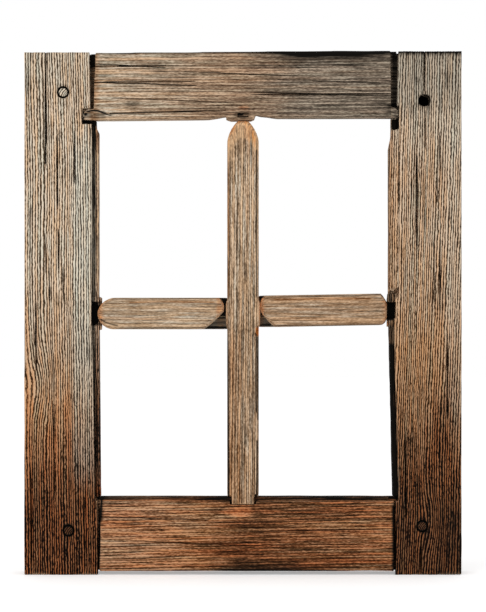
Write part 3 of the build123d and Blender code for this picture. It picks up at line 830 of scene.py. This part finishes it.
class SASH_OT_bars(bpy.types.Operator):
    """Adds the upright bar and the two cross bars"""

    bl_idname = "sash.bars"
    bl_label = "Bars"

    def execute(self, context):
        finish = context.scene.sash_finish
        upright = self.board("upright_bar", 2, 5, (-120.0, 60.0), 2.1)
        self.upright(upright)
        pale, tan = (0.95, 0.60, 0.33), (0.82, 0.50, 0.27)
        standing = wood(
            "upright_bar_wood", 2, finish, contrast=0.55, level=0.53, even=0.5, rich=0.75, worn_colour=pale
        )
        upright.object.data.materials.append(standing)
        upright.finish("bar_wood")
        lying = wood("cross_bar_wood", 0, finish, contrast=0.36, level=0.58, even=0.2, rich=0.85, worn_colour=tan)
        for node, seed, pith in (("left_cross_bar", 61, (50.0, 190.0)), ("right_cross_bar", 67, (50.0, 200.0))):
            board = self.board(node, 0, seed, pith, 2.8)
            board.mark("age", np.full(len(board.start), 0.0 if node == "left_cross_bar" else 0.19))
            self.shaded(board, node == "left_cross_bar")
            board.object.data.materials.append(lying)
            board.finish("bar_wood")
        return {"FINISHED"}

    def board(self, node, along, seed, pith, spacing):
        board = Board(node, along, 0.5 * MM, 0.9 * MM, 2.4 * MM)
        size = [9.0, 9.0, 9.0]
        size[along] = 30.0
        chipped = noise(board.start, size, seed + 9)
        board.wear(12, np.clip(0.4 + 0.5 * chipped, 0.1, 0.9))
        grain(board, pith, spacing, 0.3, seed, (0.012, 0.0), 0.5)
        x, y, z = board.start.T
        board.keep((np.abs(x) > SHOULDER) & (y > -TENON_FACE))
        return board

    def upright(self, board):
        x, y, z = board.start.T
        board.mark("age", np.interp(z, [80, 150, 250, 330], [0.24, 0.18, 0.12, 0.06]))
        nose = smoothstep(up(150), up(128), z)
        streak = between(x, across(248), across(254), 1.5) * between(z, up(175), up(130), 6.0)
        board.mark("warm", 0.2 * nose + 0.3 * streak)
        inside = np.hypot(x / 13.5, np.maximum(z - up(152.0), 0.0) / 15.0)
        rim = smoothstep(0.86, 1.04, inside + 0.1 * noise(board.start, (2.0, 6.0, 4.0), 75))
        board.mark("worn", 1.1 * rim * smoothstep(up(178), up(140), z) * (y < FRONT + 12.0))
        uneven = 0.7 + 0.5 * noise(board.start, (2.5, 6.0, 5.0), 76)
        board.mark("warm", 0.42 * trace(board, NOSE_ARCH, 2.6) * uneven)
        # Painted shade on the right bevel, which faces away from the light
        board.mark("dark", 0.85 * board.zone(253.6, 257.3, 150, 298, 0.2, 0.5))
        board.mark("age", 0.4 * board.zone(220, 229.4, 142, 298, 0.4, 0.5))
        board.mark("dark", 0.7 * board.zone(255.4, 262, 336, 420, 2.0, 0.5))
        # Painted shade on the lower part of the right bevel
        board.mark("dark", 0.8 * board.zone(255.2, 258.0, 440, 506, 0.4, 0.5))
        board.mark("dark", 0.35 * board.zone(220, 229.4, 340, 506, 0.4, 0.5))
        board.mark("warm", 1.2 * board.zone(255.8, 262, 327, 336.5, 0.0, 0.5))
        right_arris = trace(board, ((257.6, 300), (257.8, 316)), 0.8)
        left_arris = trace(board, ((226.4, 299), (226.4, 317)), 0.7)
        board.mark("worn", 0.8 * right_arris + 0.6 * left_arris)
        lower = smoothstep(up(320), up(360), z)
        board.mark("age", 0.22 * lower * smoothstep(across(246), across(236), x))
        board.mark("dark", 0.5 * trace(board, ((242.4, 330), (241.8, 420), (242.0, 502)), 0.6))
        board.mark("dark", 0.6 * trace(board, ((227.4, 335), (227.9, 420), (228.4, 502)), 0.9))
        board.mark("dark", 0.7 * trace(board, ((226.6, 145), (226.3, 297)), 0.8))
        board.mark("dark", 0.45 * trace(board, ((229.8, 150), (229.6, 297)), 0.5))
        board.mark("dark", 0.6 * trace(board, ((252.4, 335), (252.6, 440), (254.6, 470), (254.8, 502)), 0.6))

    def shaded(self, board, left):
        x, y, z = board.start.T
        # Painted shade: the back layer behind the front plate is greyed and darkened, more towards its top
        behind = (y > FRONT + 5.0) & (y < 4.0)
        deeper_shade = 0.5 * smoothstep(up(318), up(312), z)
        board.mark("grey", 1.0 * behind)
        if left:
            board.mark("dark", (0.78 + deeper_shade) * behind * (x > across(203)) * board.front)
            # Painted shade in the mortise round the tenon's end
            board.mark("dark", 1.3 * board.zone(70, 99.5, 300, 327, 5.0))
            ends = 0.6 * smoothstep(across(106), across(99), x) + 0.5 * between(x, across(216), across(225), 2.0)
            board.mark("warm", ends * (y < 0.0))
            board.mark("worn", 0.8 * trace(board, LEFT_BAR_NOSE, 1.6))
            board.mark("dark", 0.8 * trace(board, ((100.5, 319.5), (106, 322.4), (111, 324.2), (118, 325.4)), 0.7))
            board.mark("dark", 0.5 * trace(board, ((112, 298.9), (224, 298.2)), 0.7))
            board.mark("dark", 0.45 * trace(board, ((118, 328.2), (226, 327.6)), 0.9))
            board.mark("age", 0.45 * trace(board, ((130, 302.4), (170, 301.8), (215, 302.4)), 0.9))
        else:
            board.mark("dark", (0.68 + deeper_shade) * behind * (x < across(272)) * board.front)
            # Painted shade in the mortise round the tenon's end
            board.mark("dark", 1.3 * board.zone(386.5, 420, 298, 327, 5.0))
            ends = 0.6 * between(x, across(258), across(264), 2.0) + 0.4 * smoothstep(across(378), across(386), x)
            board.mark("warm", ends * (y < 0.0))
            board.mark("worn", 0.9 * trace(board, RIGHT_BAR_NOSE, 1.4))
            board.mark("dark", 0.75 * trace(board, ((382.5, 295.4), (385.5, 299.5), (388.0, 304.5)), 0.9))
            board.mark("dark", 0.5 * trace(board, ((384, 324), (388, 318.5)), 1.0))
            board.mark("dark", 0.45 * trace(board, ((262, 297.2), (380, 294.8)), 0.8))
            board.mark("dark", 0.5 * trace(board, ((272, 326.2), (380, 324.6)), 0.8))
            board.mark("age", 0.4 * trace(board, ((275, 299.8), (330, 298.8), (370, 298.6)), 1.0))


class SASH_OT_pegs(bpy.types.Operator):
    """Adds the three pegs that are left"""

    bl_idname = "sash.pegs"
    bl_label = "Pegs"

    def execute(self, context):
        finish = context.scene.sash_finish
        end_grain = wood("peg_wood", 1, finish)
        for seed, node in enumerate(("top_left_peg", "bottom_left_peg", "bottom_right_peg")):
            board = Board(node, 1, 0.4 * MM, 1.2 * MM, 1.2 * MM)
            board.wear(4, np.full(len(board.points), 0.5))
            centre = board.start.mean(axis=0)
            grain(board, (centre[0] + 9.0, centre[2] - 6.0), 1.9, 0.35, 70 + seed, wander=0.3)
            dry = node == "top_left_peg"
            board.mark("age", np.full(len(board.start), 0.1 if dry else 1.0))
            far = np.hypot(board.start[:, 0] - centre[0], board.start[:, 2] - centre[2])
            # Painted shadow in the ring at the peg's edge; the two lower pegs are also darker all over
            board.mark("dark", 1.1 * smoothstep(4.1, 4.9, far) + (0.0 if dry else 0.55))
            board.mark("grey", np.full(len(board.start), 0.8 if dry else 0.1))
            board.object.data.materials.append(end_grain)
            board.finish("peg_wood")
        return {"FINISHED"}


class SASH_OT_stage(bpy.types.Operator):
    """Adds the floor, the light and the camera"""

    bl_idname = "sash.stage"
    bl_label = "Stage"

    def execute(self, context):
        settings = context.scene.sash_stage
        bm = bmesh.new()
        bmesh.ops.create_grid(bm, x_segments=2, y_segments=2, size=6.0)
        mesh = bpy.data.meshes.new("floor")
        bm.to_mesh(mesh)
        bm.free()
        floor = bpy.data.objects.new("floor", mesh)
        context.scene.collection.objects.link(floor)
        mesh.materials.append(self.paper(settings.paper))
        self.sky(context, settings.sky)
        self.lamp(context, "key", (-1.5, -2.4, 2.0), 1.8, settings.key)
        self.lamp(context, "fill", (1.8, -2.2, 0.9), 1.8, settings.key * 0.35)
        self.camera(context, settings.distance)
        context.scene.view_settings.view_transform = "Standard"
        return {"FINISHED"}

    def paper(self, extra):
        """A pale floor that the camera sees white, except for the shadow on it."""
        pale = Finish("pale_floor")
        seen = pale.node("ShaderNodeLightPath", out="Is Camera Ray")
        matt = pale.node("ShaderNodeBsdfDiffuse", {}, {"Color": (0.98, 0.98, 0.98, 1.0)})
        glow = pale.node("ShaderNodeEmission", {}, {"Color": (1.0, 1.0, 1.0, 1.0), "Strength": seen * extra})
        surface = pale.node("ShaderNodeAddShader", {}, {0: matt, 1: glow})
        pale.node("ShaderNodeOutputMaterial", sockets={"Surface": surface})
        return pale.material

    def sky(self, context, strength):
        world = bpy.data.worlds.new("sky")
        context.scene.world = world
        world.use_nodes = True
        tree = world.node_tree
        tree.nodes.clear()
        path = tree.nodes.new("ShaderNodeLightPath")
        seen = Socket(tree, path.outputs["Is Camera Ray"])
        seen = seen.join("MAXIMUM", seen, Socket(tree, path.outputs["Is Glossy Ray"]))
        seen = seen.join("MAXIMUM", seen, Socket(tree, path.outputs["Is Transmission Ray"]))
        light = seen * (1.0 - strength) + strength
        background = tree.nodes.new("ShaderNodeBackground")
        background.inputs["Color"].default_value = (1.0, 1.0, 1.0, 1.0)
        tree.links.new(light.output, background.inputs["Strength"])
        out = tree.nodes.new("ShaderNodeOutputWorld")
        tree.links.new(background.outputs[0], out.inputs["Surface"])

    def lamp(self, context, name, place, size, power):
        data = bpy.data.lights.new(name, "AREA")
        data.size = size
        data.energy = power
        made = bpy.data.objects.new(name, data)
        made.location = place
        aim = Vector((0.0, 0.0, 0.3)) - Vector(place)
        made.rotation_euler = aim.to_track_quat("-Z", "Y").to_euler()
        context.scene.collection.objects.link(made)

    def camera(self, context, distance):
        data = bpy.data.cameras.new("camera")
        made = bpy.data.objects.new("camera", data)
        middle = up(306)
        made.location = (0.0, -distance + cad_box[0][1], middle * MM)
        made.rotation_euler = (np.pi / 2, 0.0, 0.0)
        data.sensor_fit = "VERTICAL"
        data.sensor_height = 24.0
        tall = 612 * PIXEL * MM
        data.lens = 24.0 * distance / tall
        data.clip_end = 50.0
        context.scene.collection.objects.link(made)
        context.scene.camera = made


class SASH_PT_panel(bpy.types.Panel):
    """Lists the sash's operators and settings"""

    bl_idname = "SASH_PT_panel"
    bl_label = "Window Sash"
    bl_space_type = "VIEW_3D"
    bl_region_type = "UI"
    bl_category = "Sash"

    def draw(self, context):
        for operator in OPERATORS:
            self.layout.operator(operator.bl_idname)
        for group in (context.scene.sash_wood, context.scene.sash_finish, context.scene.sash_stage):
            for name in group.__annotations__:
                self.layout.prop(group, name)


OPERATORS = (SASH_OT_stiles, SASH_OT_rails, SASH_OT_bars, SASH_OT_pegs, SASH_OT_stage)
GROUPS = {"sash_wood": SashWood, "sash_finish": SashFinish, "sash_stage": SashStage}


def register():
    for group in GROUPS.values():
        bpy.utils.register_class(group)
    for name, group in GROUPS.items():
        setattr(bpy.types.Scene, name, PointerProperty(type=group))
    for operator in OPERATORS:
        bpy.utils.register_class(operator)
    bpy.utils.register_class(SASH_PT_panel)


def unregister():
    bpy.utils.unregister_class(SASH_PT_panel)
    for operator in reversed(OPERATORS):
        bpy.utils.unregister_class(operator)
    for name in GROUPS:
        delattr(bpy.types.Scene, name)
    for group in GROUPS.values():
        bpy.utils.unregister_class(group)


def main():
    register()
    bpy.ops.sash.stiles()
    bpy.ops.sash.rails()
    bpy.ops.sash.bars()
    bpy.ops.sash.pegs()
    bpy.ops.sash.stage()


if __name__ == "__main__":
    main()
